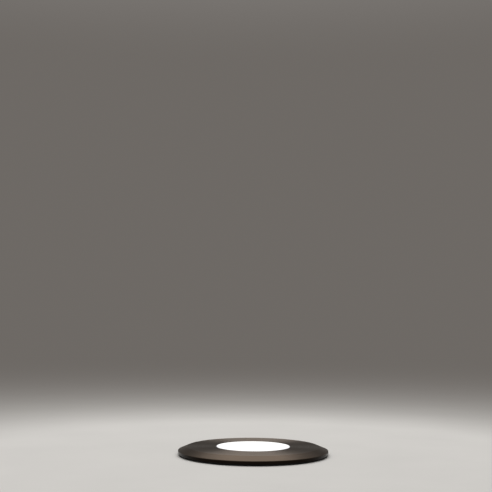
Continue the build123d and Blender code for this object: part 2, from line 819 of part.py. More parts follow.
with BuildPart() as clip_pin:
    with BuildSketch(hinge_plane):
        Circle(pin_radius)
    extrude(amount=bracket_width / 2 + pin_head_height, both=True)
    for side in (1, -1):
        with BuildSketch(hinge_plane.offset(side * bracket_width / 2)):
            Circle(pin_head_radius)
        extrude(amount=side * pin_head_height)
save_pair(clip_pin.part, "clip_pin")

# The clip's torsion spring: one wire that bears on the bracket with its straight lower leg, winds
# round the pin, and lifts the arm's web with its upper leg. Each quarter turn of the coil is a
# pair of arcs that meet in one direction.


def coil_point(angle):
    """Centre of the wire at an angle about the pin, climbing along the pin as it turns."""
    along_pin = spring_pitch * (angle - spring_middle_angle) / (2 * pi)
    return Vector(
        pivot_x + spring_coil_radius * cos(angle),
        along_pin,
        -pivot_depth + spring_coil_radius * sin(angle),
    )


def coil_heading(angle):
    """Direction of the wire at that angle."""
    return Vector(
        -spring_coil_radius * sin(angle),
        spring_pitch / (2 * pi),
        spring_coil_radius * cos(angle),
    ).normalized()


upper_leg_angle = pi / 2 + radians(clip_rest_angle - spring_leg_dip)
lower_leg_angle = pi + 2 * pi * spring_turns
spring_middle_angle = (upper_leg_angle + lower_leg_angle) / 2
quarter_turns = round((lower_leg_angle - upper_leg_angle) / (pi / 2))
quarter = (lower_leg_angle - upper_leg_angle) / quarter_turns

with BuildPart() as clip_spring:
    with BuildLine() as spring_wire:
        upper_end = coil_point(upper_leg_angle) - coil_heading(upper_leg_angle) * spring_leg_length
        Line(upper_end, coil_point(upper_leg_angle))
        for step in range(quarter_turns):
            start_angle = upper_leg_angle + step * quarter
            start = coil_point(start_angle)
            end = coil_point(start_angle + quarter)
            start_heading = coil_heading(start_angle)
            end_heading = coil_heading(start_angle + quarter)
            chord = end - start
            spread = 1 - start_heading.dot(end_heading)
            pull = chord.dot(start_heading + end_heading)
            reach = (sqrt(pull**2 + 2 * spread * chord.dot(chord)) - pull) / (2 * spread)
            middle = (start + end) / 2 + (start_heading - end_heading) * (reach / 2)
            middle_heading = chord - (start_heading + end_heading) * reach
            TangentArc(start, middle, tangent=start_heading)
            TangentArc(middle, end, tangent=middle_heading)
        lower_start = coil_point(lower_leg_angle)
        lower_end = lower_start + coil_heading(lower_leg_angle) * spring_leg_length
        Line(lower_start, lower_end)
    with BuildSketch(Plane(origin=upper_end, z_dir=coil_heading(upper_leg_angle))):
        Circle(spring_wire_radius)
    sweep(path=spring_wire.wire())
save_pair(clip_spring.part, "clip_spring")

coil_gap = spring_pitch * cos(atan2(spring_pitch, 2 * pi * spring_coil_radius)) - 2 * spring_wire_radius
print("least gap between the turns of a clip spring:", round(coil_gap, 3), "mm")

# The arm: a stamped channel whose web bridges the coil and then steps down to a flat blade

web_level = spring_coil_radius + spring_wire_radius + clearance_gap
web_top = web_level + arm_thickness
blade_top = blade_level + arm_thickness
web_rear = (web_top * sin(arm_angle) - pivot_offset + stop_gap) / cos(arm_angle)
foot_middle = arm_length - foot_length / 2 - arm_thickness

with BuildPart() as clip_arm:
    with BuildSketch(arm_plane):
        with BuildLine():
            Polyline(
                (web_rear, web_level),
                (arm_joggle_start, web_level),
                (arm_joggle_end, blade_level),
                (arm_length, blade_level),
                (arm_length, blade_top),
                (arm_joggle_end, blade_top),
                (arm_joggle_start, web_top),
                (web_rear, web_top),
                close=True,
            )
        make_face()
    extrude(amount=arm_width / 2, both=True)

    # Taper the strip in plan and round its tip
    with BuildSketch(Plane(origin=arm_plane.origin, x_dir=arm_plane.x_dir, z_dir=arm_plane.y_dir)):
        with BuildLine():
            Polyline(
                (web_rear - arm_thickness, -arm_width / 2),
                (arm_joggle_start, -arm_width / 2),
                (arm_length, -arm_tip_width / 2),
                (arm_length, arm_tip_width / 2),
                (arm_joggle_start, arm_width / 2),
                (web_rear - arm_thickness, arm_width / 2),
                close=True,
            )
        plan = make_face()
        fillet(plan.vertices().sort_by_distance(Vector(arm_length, 0))[:2], radius=arm_tip_width / 4)
    extrude(amount=2 * web_top, both=True, mode=Mode.INTERSECT)

    # Ears down to the pin, bent from the sides of the web
    for side in (1, -1):
        with BuildSketch(arm_plane.offset(side * arm_width / 2)):
            Circle(bracket_ear_radius)
            with BuildLine():
                Polyline(
                    (-bracket_ear_radius, 0),
                    (web_rear, web_level),
                    (web_rear, web_top),
                    (arm_joggle_start, web_top),
                    (arm_joggle_end, blade_top),
                    (arm_joggle_end, blade_level),
                    (0, -bracket_ear_radius),
                    close=True,
                )
            make_face()
            Circle(pin_radius + pin_gap, mode=Mode.SUBTRACT)
        extrude(amount=-side * arm_thickness)

    # Hole for the foot's stem
    with BuildSketch(Plane(origin=arm_plane.origin, x_dir=arm_plane.x_dir, z_dir=arm_plane.y_dir)):
        with Locations((foot_middle, 0)):
            Circle(foot_stem_radius + tap_gap)
    extrude(amount=web_top, mode=Mode.SUBTRACT)
save_pair(clip_arm.part, "clip_arm")

# The rubber foot: a ridged pad on the blade, buttoned through its hole

foot_plane = Plane(origin=arm_plane.origin, x_dir=arm_plane.x_dir, z_dir=arm_plane.y_dir)
foot_width = arm_tip_width - 2 * clearance_gap
ridge_pitch = foot_length / foot_ridges

with BuildPart() as clip_foot:
    with BuildSketch(foot_plane.offset(blade_top)):
        with Locations((foot_middle, 0)):
            RectangleRounded(foot_length, foot_width, foot_length / 5)
    extrude(amount=foot_height)
    with BuildSketch(arm_plane):
        with Locations((foot_middle, blade_top + foot_height)):
            with GridLocations(ridge_pitch, 0, foot_ridges - 1, 1):
                Rectangle(ridge_pitch / 3, foot_height / 2)
    extrude(amount=foot_width, both=True, mode=Mode.SUBTRACT)
    with BuildSketch(foot_plane.offset(blade_level)):
        with Locations((foot_middle, 0)):
            Circle(foot_stem_radius)
    extrude(amount=arm_thickness)
    with BuildSketch(foot_plane.offset(blade_level)):
        with Locations((foot_middle, 0)):
            Circle(foot_button_radius)
    extrude(amount=-arm_thickness)
save_pair(clip_foot.part, "clip_foot")
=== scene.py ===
import json
from math import atan, cos, hypot, pi, radians, sin, tan, tau

import bmesh
import bpy
from mathutils import Matrix, Vector

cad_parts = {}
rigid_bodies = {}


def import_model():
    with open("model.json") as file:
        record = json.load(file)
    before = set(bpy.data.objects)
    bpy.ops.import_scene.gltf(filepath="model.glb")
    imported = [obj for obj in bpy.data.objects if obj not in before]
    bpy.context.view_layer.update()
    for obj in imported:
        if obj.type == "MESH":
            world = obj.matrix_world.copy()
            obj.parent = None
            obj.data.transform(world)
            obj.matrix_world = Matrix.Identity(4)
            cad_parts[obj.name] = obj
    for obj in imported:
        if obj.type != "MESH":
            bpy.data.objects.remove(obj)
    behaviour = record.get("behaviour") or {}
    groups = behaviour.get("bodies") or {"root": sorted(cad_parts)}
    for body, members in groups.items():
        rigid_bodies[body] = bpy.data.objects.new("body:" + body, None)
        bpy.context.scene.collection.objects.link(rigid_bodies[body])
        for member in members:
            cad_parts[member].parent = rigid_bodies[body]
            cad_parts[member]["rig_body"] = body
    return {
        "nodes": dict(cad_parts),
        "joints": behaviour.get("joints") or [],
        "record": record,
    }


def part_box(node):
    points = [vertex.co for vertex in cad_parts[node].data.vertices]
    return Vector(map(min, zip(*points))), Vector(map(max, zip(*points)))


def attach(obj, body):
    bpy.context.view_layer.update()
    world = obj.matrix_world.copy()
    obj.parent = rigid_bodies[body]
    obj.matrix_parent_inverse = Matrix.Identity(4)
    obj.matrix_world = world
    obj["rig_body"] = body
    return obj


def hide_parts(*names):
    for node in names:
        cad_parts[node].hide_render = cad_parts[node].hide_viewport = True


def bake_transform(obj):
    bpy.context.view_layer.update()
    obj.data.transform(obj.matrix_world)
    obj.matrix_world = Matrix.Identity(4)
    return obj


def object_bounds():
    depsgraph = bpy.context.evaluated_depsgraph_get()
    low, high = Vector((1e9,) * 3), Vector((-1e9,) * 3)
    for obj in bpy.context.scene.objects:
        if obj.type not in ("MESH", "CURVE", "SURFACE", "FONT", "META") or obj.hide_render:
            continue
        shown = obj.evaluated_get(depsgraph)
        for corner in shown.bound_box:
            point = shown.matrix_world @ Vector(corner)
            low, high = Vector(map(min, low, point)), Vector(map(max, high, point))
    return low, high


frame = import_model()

# A recessed LED step light, seen as it lies in a floor, with its lens lit.
# Lengths are in metres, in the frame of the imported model: the surface of the floor is z = 0.

MM = 0.001
SAME_LEVEL = 0.02 * MM
CLOSE = 0.05 * MM
RIM_ZONE = 0.4 * MM

cad_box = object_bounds()
trim_low, trim_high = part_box("trim_ring")
lens_low, lens_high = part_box("lens_glass")
gasket_low, gasket_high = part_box("flange_gasket")
slot_of = {part["node"]: part["material_slot"] for part in frame["record"]["subparts"]}
pivot_of = {joint["child"]: Vector(joint["pos_m"]) for joint in frame["joints"]}


# Sizes of the round pieces, read from their CAD nodes


def profile_of(node):
    """Radius and height of every vertex of a round node."""
    vertices = frame["nodes"][node].data.vertices
    return [(hypot(vertex.co.x, vertex.co.y), vertex.co.z) for vertex in vertices]


def radii_at(node, height):
    """Radii of a round node's vertices at one height."""
    return [radius for radius, level in profile_of(node) if abs(level - height) < SAME_LEVEL]


def heights_between(node, smallest, largest):
    """Heights of a round node's vertices between two radii."""
    return [level for radius, level in profile_of(node) if smallest <= radius <= largest]


face_height = trim_high.z
trim_radius = trim_high.x
flat_radius = max(radii_at("trim_ring", face_height))
opening_radius = min(radius for radius, level in profile_of("trim_ring"))
rim_heights = heights_between("trim_ring", trim_radius - RIM_ZONE, trim_radius)
rim_top = max(rim_heights)
rim_bottom = min(rim_heights)
pocket_radius = min(radii_at("trim_ring", rim_bottom))
lip_underside = min(heights_between("trim_ring", 0, opening_radius + CLOSE))
skirt_bore = max(radii_at("trim_ring", lip_underside))
skirt_end = trim_low.z
skirt_radius = max(radius for radius, level in profile_of("trim_ring") if level < 0)
pocket_ceiling = max(heights_between("trim_ring", skirt_radius - CLOSE, skirt_radius + CLOSE))
lens_radius = max(radius for radius, level in profile_of("lens_glass") if level > face_height - RIM_ZONE)
lens_shoulder = max(heights_between("lens_glass", lens_high.x - CLOSE, lens_high.x))
gasket_bore = min(radius for radius, level in profile_of("flange_gasket"))


# The camera: the photograph's angle, with the light small and low in the picture

IMAGE_SIDE = 492
SENSOR_WIDTH = 36.0
FOCAL_PIXELS = 850
LENS_PIXEL = (253.2, 446.0)
CAMERA_DISTANCE = 0.4662
CAMERA_ELEVATION = radians(7.57)
CAMERA_ROLL = radians(0.36)
NEAREST_SEEN = 10 * MM


def make_camera():
    """The lens's centre lands on its pixel, and the picture leans a little, as the photograph does."""
    data = bpy.data.cameras.new("camera")
    data.sensor_width = SENSOR_WIDTH
    data.lens = FOCAL_PIXELS / IMAGE_SIDE * SENSOR_WIDTH
    data.clip_start = NEAREST_SEEN
    camera = bpy.data.objects.new("camera", data)
    bpy.context.scene.collection.objects.link(camera)
    right = LENS_PIXEL[0] - IMAGE_SIDE / 2
    below = LENS_PIXEL[1] - IMAGE_SIDE / 2
    level_right = right * cos(CAMERA_ROLL) + below * sin(CAMERA_ROLL)
    level_below = below * cos(CAMERA_ROLL) - right * sin(CAMERA_ROLL)
    pitch = atan(level_below / FOCAL_PIXELS) - CAMERA_ELEVATION
    yaw = atan(level_right / hypot(FOCAL_PIXELS, level_below))
    tilt = Matrix.Rotation(pi / 2 + pitch, 4, "X")
    lean = Matrix.Rotation(CAMERA_ROLL, 4, "Z")
    aim = Matrix.Rotation(yaw, 4, "Z") @ tilt @ lean
    away = CAMERA_DISTANCE * cos(CAMERA_ELEVATION)
    above = CAMERA_DISTANCE * sin(CAMERA_ELEVATION)
    camera.matrix_world = Matrix.Translation((0, -away, face_height + above)) @ aim
    bpy.context.scene.camera = camera


make_camera()


# Shaders

LATHE_CIRCLE = 2 * MM
QUARTER_TURN = 0.25
NOISE_LOW = 0.3
NOISE_HIGH = 0.7


class Shader:
    """A principled material and short ways to add nodes to it."""

    def __init__(self, name, roughness=0.5, metallic=0.0):
        self.material = bpy.data.materials.new(name)
        self.material.use_nodes = True
        self.tree = self.material.node_tree
        self.surface = self.tree.nodes["Principled BSDF"]
        self.surface.inputs["Roughness"].default_value = roughness
        self.surface.inputs["Metallic"].default_value = metallic
        self.place = self.add("ShaderNodeTexCoord").outputs["Object"]

    def add(self, kind, **settings):
        node = self.tree.nodes.new(kind)
        for name, value in settings.items():
            setattr(node, name, value)
        return node

    def link(self, source, target):
        self.tree.links.new(source, target)

    def set(self, name, value):
        self.surface.inputs[name].default_value = value

    def math(self, operation, first, second=0.0):
        node = self.add("ShaderNodeMath", operation=operation)
        for socket, value in zip(node.inputs, (first, second)):
            if isinstance(value, (int, float)):
                socket.default_value = value
            else:
                self.link(value, socket)
        return node.outputs[0]

    def scaled(self, vector, scale):
        node = self.add("ShaderNodeVectorMath", operation="MULTIPLY")
        self.link(vector, node.inputs[0])
        node.inputs[1].default_value = scale
        return node.outputs[0]

    def noise(self, feature, detail=3.0, vector=None, stretch=(1, 1, 1)):
        """Noise with features of about that size in metres, drawn out by stretch."""
        node = self.add("ShaderNodeTexNoise")
        scale = tuple(1 / (feature * share) for share in stretch)
        self.link(self.scaled(vector or self.place, scale), node.inputs["Vector"])
        node.inputs["Scale"].default_value = 1.0
        node.inputs["Detail"].default_value = detail
        return node.outputs["Fac"]

    def spread(self, value, low, high, from_low=NOISE_LOW, from_high=NOISE_HIGH):
        """Stretch a value to the range from low to high: a noise, unless its own range is given."""
        node = self.add("ShaderNodeMapRange")
        self.link(value, node.inputs["Value"])
        node.inputs["From Min"].default_value = from_low
        node.inputs["From Max"].default_value = from_high
        node.inputs["To Min"].default_value = low
        node.inputs["To Max"].default_value = high
        return node.outputs["Result"]

    def eased(self, value, low, high, from_low, from_high):
        """Like spread, with a soft start and end."""
        result = self.spread(value, low, high, from_low, from_high)
        result.node.interpolation_type = "SMOOTHSTEP"
        return result

    def blend(self, share, first, second):
        """Mix of two colours, each a tuple or a socket."""
        node = self.add("ShaderNodeMix", data_type="RGBA")
        self.link(share, node.inputs["Factor"])
        for socket, value in ((node.inputs[6], first), (node.inputs[7], second)):
            if isinstance(value, tuple):
                socket.default_value = (*value, 1)
            else:
                self.link(value, socket)
        return node.outputs[2]

    def colour(self, value):
        self.link(value, self.surface.inputs["Base Color"])

    def roughness(self, value):
        self.link(value, self.surface.inputs["Roughness"])

    def bump(self, height, distance):
        """Raise the surface by distance, in metres, where height is 1."""
        node = self.add("ShaderNodeBump")
        node.inputs["Strength"].default_value = 1.0
        node.inputs["Distance"].default_value = distance
        self.link(height, node.inputs["Height"])
        self.link(node.outputs["Normal"], self.surface.inputs["Normal"])

    def lathe_place(self):
        """A place for marks that run round the Z axis, with the radius and the height.

        Its X and Y go round a small circle, and its Z runs across the marks.
        """
        parts = self.add("ShaderNodeSeparateXYZ")
        self.link(self.place, parts.inputs[0])
        flat = self.scaled(self.place, (1, 1, 0))
        length = self.add("ShaderNodeVectorMath", operation="LENGTH")
        self.link(flat, length.inputs[0])
        heading = self.add("ShaderNodeVectorMath", operation="NORMALIZE")
        self.link(flat, heading.inputs[0])
        on_circle = self.add("ShaderNodeSeparateXYZ")
        self.link(self.scaled(heading.outputs[0], (LATHE_CIRCLE, LATHE_CIRCLE, 0)), on_circle.inputs[0])
        joined = self.add("ShaderNodeCombineXYZ")
        self.link(on_circle.outputs["X"], joined.inputs["X"])
        self.link(on_circle.outputs["Y"], joined.inputs["Y"])
        self.link(self.math("SUBTRACT", length.outputs["Value"], parts.outputs["Z"]), joined.inputs["Z"])
        return joined.outputs["Vector"], length.outputs["Value"], parts.outputs["Z"]

    def brushed_round(self, amount):
        """Gloss of a grain that runs round the Z axis: it is drawn out across the grain."""
        self.set("Anisotropic", amount)
        self.set("Anisotropic Rotation", QUARTER_TURN)
        tangent = self.add("ShaderNodeTangent", direction_type="RADIAL", axis="Z")
        self.link(tangent.outputs["Tangent"], self.surface.inputs["Tangent"])


STEEL_DARK = (0.118, 0.096, 0.079)
STEEL_LIGHT = (0.158, 0.130, 0.108)
STEEL_CLOUD = (0.134, 0.113, 0.096)
# Painted reflection: the bevel is browner, standing in for the warm light it mirrors.
BEVEL_PAINTED_REFLECTION = (0.120, 0.085, 0.058)
BEVEL_REFLECTION_SHARE = 0.65
BEVEL_REFLECTION_FADE = (flat_radius - 0.5 * MM, flat_radius + 0.7 * MM)
# Paler along the rounded edge between the flat and the bevel.
EDGE_PALE_TONE = (0.21, 0.175, 0.145)
EDGE_PALE_SHARE = 0.35
EDGE_PALE_FADE = (0.05 * MM, 0.35 * MM)
# Painted shade: the upright rim and all below it are painted near black, for the shade and dark reflection
# on them.
RIM_PAINTED_SHADE = (0.017, 0.012, 0.009)
RIM_SHADE_FADE = (rim_top - 0.30 * MM, rim_top - 0.10 * MM)


def turned_steel():
    """Warm satin steel, faced on a lathe, paler along the edge between flat and bevel; the bevel carries a
    painted reflection, browner, and the low upright rim is painted dark as painted shade.
    """
    shader = Shader("turned_steel", metallic=1.0)
    round_place, radius, height = shader.lathe_place()
    fine = shader.noise(0.16 * MM, detail=2.0, vector=round_place, stretch=(60, 60, 1))
    broad = shader.noise(0.9 * MM, vector=round_place, stretch=(16, 16, 1))
    cloud = shader.noise(11 * MM)
    steel = shader.blend(shader.spread(broad, 0.0, 1.0), STEEL_DARK, STEEL_LIGHT)
    clouded = shader.blend(shader.spread(cloud, 0.0, 0.5), steel, STEEL_CLOUD)
    # Painted reflection on the bevel.
    on_bevel = shader.spread(radius, 0.0, BEVEL_REFLECTION_SHARE, *BEVEL_REFLECTION_FADE)
    bevel_reflected = shader.blend(on_bevel, clouded, BEVEL_PAINTED_REFLECTION)
    # Paler along the edge between the flat and the bevel.
    from_edge = shader.math("ABSOLUTE", shader.math("SUBTRACT", radius, flat_radius))
    on_edge = shader.spread(from_edge, EDGE_PALE_SHARE, 0.0, *EDGE_PALE_FADE)
    edged = shader.blend(on_edge, bevel_reflected, EDGE_PALE_TONE)
    # Painted shade on the rim and below it.
    upright_shade = shader.spread(height, 1.0, 0.0, *RIM_SHADE_FADE)
    shader.colour(shader.blend(upright_shade, edged, RIM_PAINTED_SHADE))
    shader.roughness(shader.spread(fine, 0.34, 0.44))
    shader.bump(fine, 0.003 * MM)
    shader.brushed_round(1.0)
    return shader.material


LENS_GLOW = 0.55
GLOW_WHITE = (1.0, 0.995, 0.985)
GLOW_AT_EDGE = (0.10, 0.11, 0.16)
GROUND_EDGE = 0.7 * MM


def frosted_glass():
    """Ground white glass, lit from behind: it glows white, and dimmer and bluer at its ground edge."""
    shader = Shader("frosted_glass", roughness=0.35)
    grain = shader.noise(0.25 * MM, detail=2.0)
    cloud = shader.noise(9 * MM, detail=2.0)
    shader.colour(shader.blend(shader.spread(cloud, 0, 1), (0.80, 0.80, 0.79), (0.86, 0.86, 0.86)))
    radius = shader.lathe_place()[1]
    edge = shader.spread(radius, 0.0, 1.0, lens_radius - GROUND_EDGE, lens_radius)
    glow = shader.blend(edge, GLOW_WHITE, GLOW_AT_EDGE)
    shader.link(glow, shader.surface.inputs["Emission Color"])
    shader.set("Emission Strength", LENS_GLOW)
    shader.set("Specular IOR Level", 0.4)
    shader.bump(grain, 0.01 * MM)
    return shader.material


def black_seal():
    """Moulded black rubber with a faint bloom."""
    shader = Shader("black_seal")
    shader.set("Specular IOR Level", 0.15)
    bloom = shader.noise(4 * MM)
    shader.colour(shader.blend(shader.spread(bloom, 0, 1), (0.008, 0.008, 0.008), (0.018, 0.017, 0.016)))
    shader.roughness(shader.spread(bloom, 0.55, 0.75))
    shader.bump(shader.noise(0.3 * MM), 0.02 * MM)
    return shader.material


def rubber(name, dark, light):
    """Soft rubber or silicone with a fine moulded skin."""
    shader = Shader(name)
    cloud = shader.noise(3 * MM)
    shader.colour(shader.blend(shader.spread(cloud, 0, 1), dark, light))
    shader.roughness(shader.spread(cloud, 0.5, 0.7))
    shader.bump(shader.noise(0.25 * MM), 0.015 * MM)
    return shader.material


def turned_aluminium(name):
    """Cast aluminium, turned all over: fine rings, a satin gloss across them and faint flow clouds."""
    shader = Shader(name, metallic=1.0)
    round_place = shader.lathe_place()[0]
    marks = shader.noise(0.25 * MM, detail=2.0, vector=round_place, stretch=(60, 60, 1))
    cloud = shader.noise(14 * MM, detail=4.0)
    metal = shader.blend(shader.spread(cloud, 0, 1), (0.50, 0.505, 0.51), (0.60, 0.605, 0.61))
    shader.colour(shader.blend(shader.spread(marks, 0, 0.35), metal, (0.74, 0.74, 0.74)))
    shader.roughness(shader.spread(marks, 0.28, 0.42))
    shader.bump(marks, 0.006 * MM)
    shader.brushed_round(0.7)
    return shader.material


def rolled_steel(name, dark, light):
    """Stamped sheet steel, with fine rolling lines square to the Y axis."""
    shader = Shader(name, metallic=1.0)
    lines = shader.noise(0.25 * MM, detail=2.0, stretch=(40, 1, 40))
    cloud = shader.noise(6 * MM)
    metal = shader.blend(shader.spread(lines, 0, 1), dark, light)
    shader.colour(shader.blend(shader.spread(cloud, 0, 0.3), metal, dark))
    shader.roughness(shader.spread(lines, 0.24, 0.34))
    shader.bump(lines, 0.003 * MM)
    return shader.material


def bright_metal(name, dark, light):
    """Small turned, headed or drawn pieces, left bright: faint clouds and fine scratches."""
    shader = Shader(name, metallic=1.0)
    cloud = shader.noise(1.5 * MM, detail=2.0)
    scratches = shader.noise(0.12 * MM, detail=2.0, stretch=(1, 9, 1))
    shader.colour(shader.blend(shader.spread(cloud, 0, 1), dark, light))
    shader.roughness(shader.spread(scratches, 0.22, 0.30))
    shader.bump(scratches, 0.001 * MM)
    return shader.material


def plastic(name, dark, light, smoothest, roughest):
    """Moulded plastic: an even colour with faint flow clouds and a fine skin."""
    shader = Shader(name)
    cloud = shader.noise(5 * MM)
    shader.colour(shader.blend(shader.spread(cloud, 0, 1), dark, light))
    shader.roughness(shader.spread(cloud, smoothest, roughest))
    shader.bump(shader.noise(0.3 * MM), 0.01 * MM)
    return shader.material


def spun_mirror():
    """Spun and polished aluminium with faint rings."""
    shader = Shader("bright_reflector", metallic=1.0)
    round_place = shader.lathe_place()[0]
    marks = shader.noise(0.5 * MM, vector=round_place, stretch=(30, 30, 1))
    shader.colour(shader.blend(shader.spread(marks, 0, 1), (0.80, 0.81, 0.82), (0.90, 0.90, 0.91)))
    shader.roughness(shader.spread(marks, 0.10, 0.2))
    shader.bump(marks, 0.01 * MM)
    shader.brushed_round(0.5)
    return shader.material


finishes = {
    "turned_steel": turned_steel(),
    "frosted_glass": frosted_glass(),
    "black_seal": black_seal(),
    "clear_seal": rubber("clear_seal", (0.46, 0.47, 0.47), (0.58, 0.58, 0.58)),
    "o_ring": rubber("o_ring", (0.012, 0.012, 0.012), (0.03, 0.03, 0.03)),
    "cast_housing": turned_aluminium("cast_housing"),
    "cast_cover": turned_aluminium("cast_cover"),
    "bright_reflector": spun_mirror(),
    "holder_plastic": plastic("holder_plastic", (0.78, 0.78, 0.76), (0.86, 0.86, 0.84), 0.4, 0.55),
    "screw_steel": bright_metal("screw_steel", (0.52, 0.51, 0.50), (0.60, 0.59, 0.58)),
    "led_ceramic": plastic("led_ceramic", (0.82, 0.82, 0.80), (0.88, 0.88, 0.86), 0.3, 0.4),
    "led_phosphor": plastic("led_phosphor", (0.85, 0.70, 0.18), (0.93, 0.80, 0.25), 0.35, 0.45),
    "thermal_pad": rubber("thermal_pad", (0.38, 0.40, 0.43), (0.45, 0.47, 0.50)),
    "red_sleeve": plastic("red_sleeve", (0.50, 0.03, 0.025), (0.62, 0.05, 0.04), 0.35, 0.5),
    "black_sleeve": plastic("black_sleeve", (0.015, 0.015, 0.015), (0.03, 0.03, 0.03), 0.35, 0.5),
    "circuit_board": plastic("circuit_board", (0.03, 0.16, 0.08), (0.05, 0.22, 0.12), 0.3, 0.45),
    "turned_brass": bright_metal("turned_brass", (0.64, 0.49, 0.23), (0.74, 0.58, 0.30)),
    "ferrite": plastic("ferrite", (0.06, 0.06, 0.065), (0.12, 0.12, 0.12), 0.55, 0.75),
    "capacitor_can": plastic("capacitor_can", (0.05, 0.06, 0.08), (0.08, 0.09, 0.11), 0.25, 0.35),
    "chip_plastic": plastic("chip_plastic", (0.02, 0.02, 0.02), (0.04, 0.04, 0.04), 0.5, 0.65),
    "terminal_plastic": plastic("terminal_plastic", (0.06, 0.26, 0.14), (0.10, 0.35, 0.20), 0.3, 0.45),
    "gland_nylon": plastic("gland_nylon", (0.040, 0.040, 0.041), (0.058, 0.058, 0.059), 0.30, 0.42),
    "gland_seal": rubber("gland_seal", (0.05, 0.05, 0.05), (0.09, 0.09, 0.09)),
    "spring_wire": bright_metal("spring_wire", (0.44, 0.43, 0.41), (0.56, 0.55, 0.53)),
    "clip_steel": rolled_steel("clip_steel", (0.54, 0.53, 0.51), (0.66, 0.65, 0.63)),
    "foot_rubber": rubber("foot_rubber", (0.014, 0.014, 0.014), (0.035, 0.034, 0.033)),
}

for name, node in frame["nodes"].items():
    node.data.materials.clear()
    node.data.materials.append(finishes[slot_of[name]])


# Mesh tools

TURN_SEGMENTS = 256
EDGE_STEPS = 4
WELD = 0.001 * MM
FLAT_ANGLE = radians(0.5)
SHARP_ANGLE = radians(28)


def stand_in(name, mesh, node):
    """Link a finished mesh as the piece that stands for a CAD node, in that node's finish."""
    mesh.materials.append(finishes[slot_of[node]])
    piece = bpy.data.objects.new(name, mesh)
    bpy.context.scene.collection.objects.link(piece)
    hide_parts(node)
    return piece


def rigid(piece, node):
    """Let a piece move with the body of the CAD node that it stands for."""
    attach(piece, frame["nodes"][node]["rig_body"])
    return piece


def rounded(corners):
    """Points of a closed outline, from its corners (radius, height, rounding)."""
    points = []
    for index, (radius, height, rounding) in enumerate(corners):
        corner = Vector((radius, height))
        to_last = (Vector(corners[index - 1][:2]) - corner).normalized()
        to_next = (Vector(corners[(index + 1) % len(corners)][:2]) - corner).normalized()
        half = to_last.angle(to_next) / 2
        if rounding == 0:
            points.append(corner)
            continue
        centre = corner + (to_last + to_next).normalized() * (rounding / sin(half))
        first = corner + to_last * (rounding / tan(half)) - centre
        last = corner + to_next * (rounding / tan(half)) - centre
        for step in range(EDGE_STEPS + 1):
            share = step / EDGE_STEPS
            arm = first * sin((1 - share) * (pi - 2 * half)) + last * sin(share * (pi - 2 * half))
            points.append(centre + arm / sin(pi - 2 * half))
    return points


def lofted(shape, rows, closed=False):
    """Skin rings of equally many points, one after the other, and close the ends of an open row."""
    loops = [[shape.verts.new(point) for point in row] for row in rows]
    pairs = list(zip(loops, loops[1:]))
    if closed:
        pairs.append((loops[-1], loops[0]))
    else:
        shape.faces.new(loops[0])
        shape.faces.new(loops[-1])
    for row, after in pairs:
        for index in range(len(row)):
            beside = (index + 1) % len(row)
            shape.faces.new((row[index], row[beside], after[beside], after[index]))


def at_angle(radius, angle, height):
    """A point by its radius and angle about the Z axis."""
    return Vector((radius * cos(angle), radius * sin(angle), height))


def ring(count, radius_at, height):
    """A level ring of points about the Z axis, at the radius that radius_at gives for each angle."""
    angles = [turn / count * tau for turn in range(count)]
    return [at_angle(radius_at(angle), angle, height) for angle in angles]


def turned(name, corners):
    """A lathe mesh: the rounded outline swept round the Z axis, with flat ends where it meets the axis."""
    outline = rounded(corners)
    off_axis = [point for point in outline if point.x > WELD]
    rows = [ring(TURN_SEGMENTS, lambda angle: point.x, point.y) for point in off_axis]
    shape = bmesh.new()
    lofted(shape, rows, closed=len(off_axis) == len(outline))
    return smooth_mesh(name, shape)


def hexagon(flat_distance, angle):
    """Radius of a hexagon with a corner on the X axis."""
    return flat_distance / cos(angle % (tau / 6) - tau / 12)


def smooth_mesh(name, shape):
    """A smooth-shaded mesh from a finished bmesh."""
    bmesh.ops.recalc_face_normals(shape, faces=shape.faces)
    mesh = bpy.data.meshes.new(name)
    shape.to_mesh(mesh)
    shape.free()
    mesh.shade_smooth()
    return mesh


def even_shading(piece):
    """Flat faces shade flat, and only the roundings between them turn the light."""
    weighted = piece.modifiers.new("even_shading", "WEIGHTED_NORMAL")
    weighted.keep_sharp = True


def finished(name, mesh, node):
    """Put a rigid, evenly shaded piece in the place of a CAD node."""
    even_shading(rigid(stand_in(name, mesh, node), node))


# The trim ring, the lens and the flange gasket, turned with their edges rounded

RIM_CORNER_DROP = 0.05 * MM


def make_trim():
    """From the opening over the flat, bevel and rim, up into the pocket and round the skirt."""
    corners = [
        (opening_radius, face_height, 0.20 * MM),
        (flat_radius, face_height, 0.45 * MM),
        (trim_radius, rim_top - RIM_CORNER_DROP, 0.28 * MM),
        (trim_radius, rim_bottom, 0.18 * MM),
        (pocket_radius, rim_bottom, 0.10 * MM),
        (pocket_radius, pocket_ceiling, 0),
        (skirt_radius, pocket_ceiling, 0),
        (skirt_radius, skirt_end, 0.40 * MM),
        (skirt_bore, skirt_end, 0.40 * MM),
        (skirt_bore, lip_underside, 0),
        (opening_radius, lip_underside, 0.10 * MM),
    ]
    finished("trim", turned("trim", corners), "trim_ring")


def make_lens():
    """A plug that fills the opening, and a wider flange below it."""
    corners = [
        (0, lens_high.z, 0),
        (lens_radius, lens_high.z, 0.25 * MM),
        (lens_radius, lens_shoulder, 0.10 * MM),
        (lens_high.x, lens_shoulder, 0.20 * MM),
        (lens_high.x, lens_low.z, 0.20 * MM),
        (0, lens_low.z, 0),
    ]
    finished("lens", turned("lens", corners), "lens_glass")


def make_flange_gasket():
    """A flat ring between the rim and the floor."""
    corners = [
        (gasket_bore, gasket_high.z, 0.20 * MM),
        (gasket_high.x, gasket_high.z, 0.30 * MM),
        (gasket_high.x, gasket_low.z, 0.30 * MM),
        (gasket_bore, gasket_low.z, 0.20 * MM),
    ]
    finished("gasket", turned("gasket", corners), "flange_gasket")


make_trim()
make_lens()
make_flange_gasket()


# The clips' torsion springs

